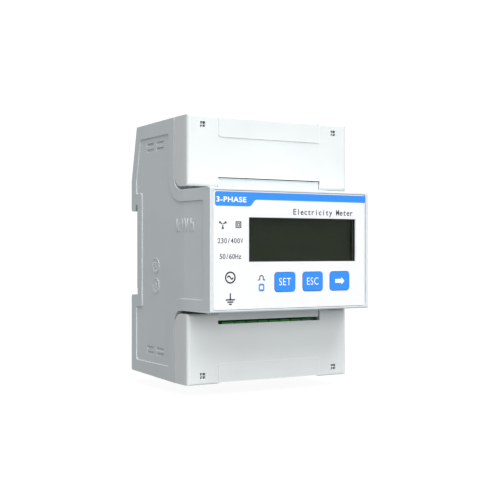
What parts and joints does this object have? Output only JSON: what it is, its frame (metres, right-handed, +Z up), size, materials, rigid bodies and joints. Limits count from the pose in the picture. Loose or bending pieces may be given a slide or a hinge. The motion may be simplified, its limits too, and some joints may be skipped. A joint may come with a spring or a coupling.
{
  "type": "electricity meter",
  "caption": "Rail-mounted smart electricity meter with a display window, keys, hinged terminal covers and a sprung rail foot.",
  "frame": {"origin": "centre of the case face that seats on the rail, on the rail's centre line", "axes": "+X to the right as seen from the front, the front faces -Y, +Y into the wall, +Z up"},
  "size_m": [0.072, 0.0655, 0.1006],
  "materials": {
    "case": "fine spark-eroded texture, light grey",
    "cover": "satin, light grey",
    "label": "printed film, white with a blue band",
    "window": "clear polished plastic",
    "display": "dark olive liquid crystal glass",
    "carrier": "white moulding",
    "key": "blue, satin",
    "light": "milky, clear",
    "foot": "black moulding",
    "seal_tab": "grey and pale red",
    "terminal_grey": "grey moulding",
    "terminal_green": "green moulding",
    "black_plastic": "black",
    "board": "green solder mask",
    "transformer": "laminated core",
    "steel": "zinc plated",
    "spring_steel": "drawn wire",
    "brass": "tinned brass"
  },
  "bodies": {
    "housing": {"main_case": "case", "rear_base": "case", "base_screw_top_left": "steel", "base_screw_top_right": "steel", "base_screw_bottom_left": "steel", "base_screw_bottom_right": "steel", "foot_spring": "spring_steel", "top_seal_tab": "seal_tab", "top_terminal_block": "terminal_grey", "bottom_terminal_block": "terminal_green", "top_screw_1": "steel", "top_screw_2": "steel", "top_screw_3": "steel", "top_screw_4": "steel", "bottom_screw_1": "steel", "bottom_screw_2": "steel", "bottom_screw_3": "steel", "bottom_screw_4": "steel", "bottom_screw_5": "steel", "bottom_screw_6": "steel", "bottom_screw_7": "steel", "bottom_screw_8": "steel", "top_clamp_1": "brass", "top_clamp_2": "brass", "top_clamp_3": "brass", "top_clamp_4": "brass", "bottom_clamp_1": "brass", "bottom_clamp_2": "brass", "bottom_clamp_3": "brass", "bottom_clamp_4": "brass", "bottom_clamp_5": "brass", "bottom_clamp_6": "brass", "bottom_clamp_7": "brass", "bottom_clamp_8": "brass", "front_label": "label", "display_window": "window", "display_cell": "display", "display_carrier": "carrier", "switch_set": "black_plastic", "switch_esc": "black_plastic", "switch_next": "black_plastic", "light_pipe": "light", "pulse_led": "light", "display_board": "board", "main_board": "board", "transformer": "transformer", "capacitor_large": "black_plastic", "capacitor_small": "black_plastic", "metering_chip": "black_plastic", "board_link": "black_plastic"},
    "top_flap": {"top_cover": "cover"},
    "bottom_flap": {"bottom_cover": "cover"},
    "foot": {"rail_foot": "foot"},
    "set_key": {"key_set": "key", "plunger_set": "black_plastic"},
    "esc_key": {"key_esc": "key", "plunger_esc": "black_plastic"},
    "next_key": {"key_next": "key", "plunger_next": "black_plastic"}
  },
  "joints": [
    {"name": "top_cover_hinge", "type": "hinge", "parent": "housing", "child": "top_flap", "pos_m": [0, -0.042, 0.0251], "axis": [1, 0, 0], "range_deg": [0, 90]},
    {"name": "bottom_cover_hinge", "type": "hinge", "parent": "housing", "child": "bottom_flap", "pos_m": [0, -0.042, -0.0251], "axis": [-1, 0, 0], "range_deg": [0, 90]},
    {"name": "rail_foot_slide", "type": "slide", "parent": "housing", "child": "foot", "axis": [0, 0, -1], "range_m": [0, 0.004], "stiffness_N_per_m": 1500, "springref_m": -0.004, "deforming": ["foot_spring"]},
    {"name": "set_key_press", "type": "slide", "parent": "housing", "child": "set_key", "axis": [0, 1, 0], "range_m": [0, 0.0004], "stiffness_N_per_m": 1500, "springref_m": -0.001},
    {"name": "esc_key_press", "type": "slide", "parent": "housing", "child": "esc_key", "axis": [0, 1, 0], "range_m": [0, 0.0004], "stiffness_N_per_m": 1500, "springref_m": -0.001},
    {"name": "next_key_press", "type": "slide", "parent": "housing", "child": "next_key", "axis": [0, 1, 0], "range_m": [0, 0.0004], "stiffness_N_per_m": 1500, "springref_m": -0.001}
  ]
}
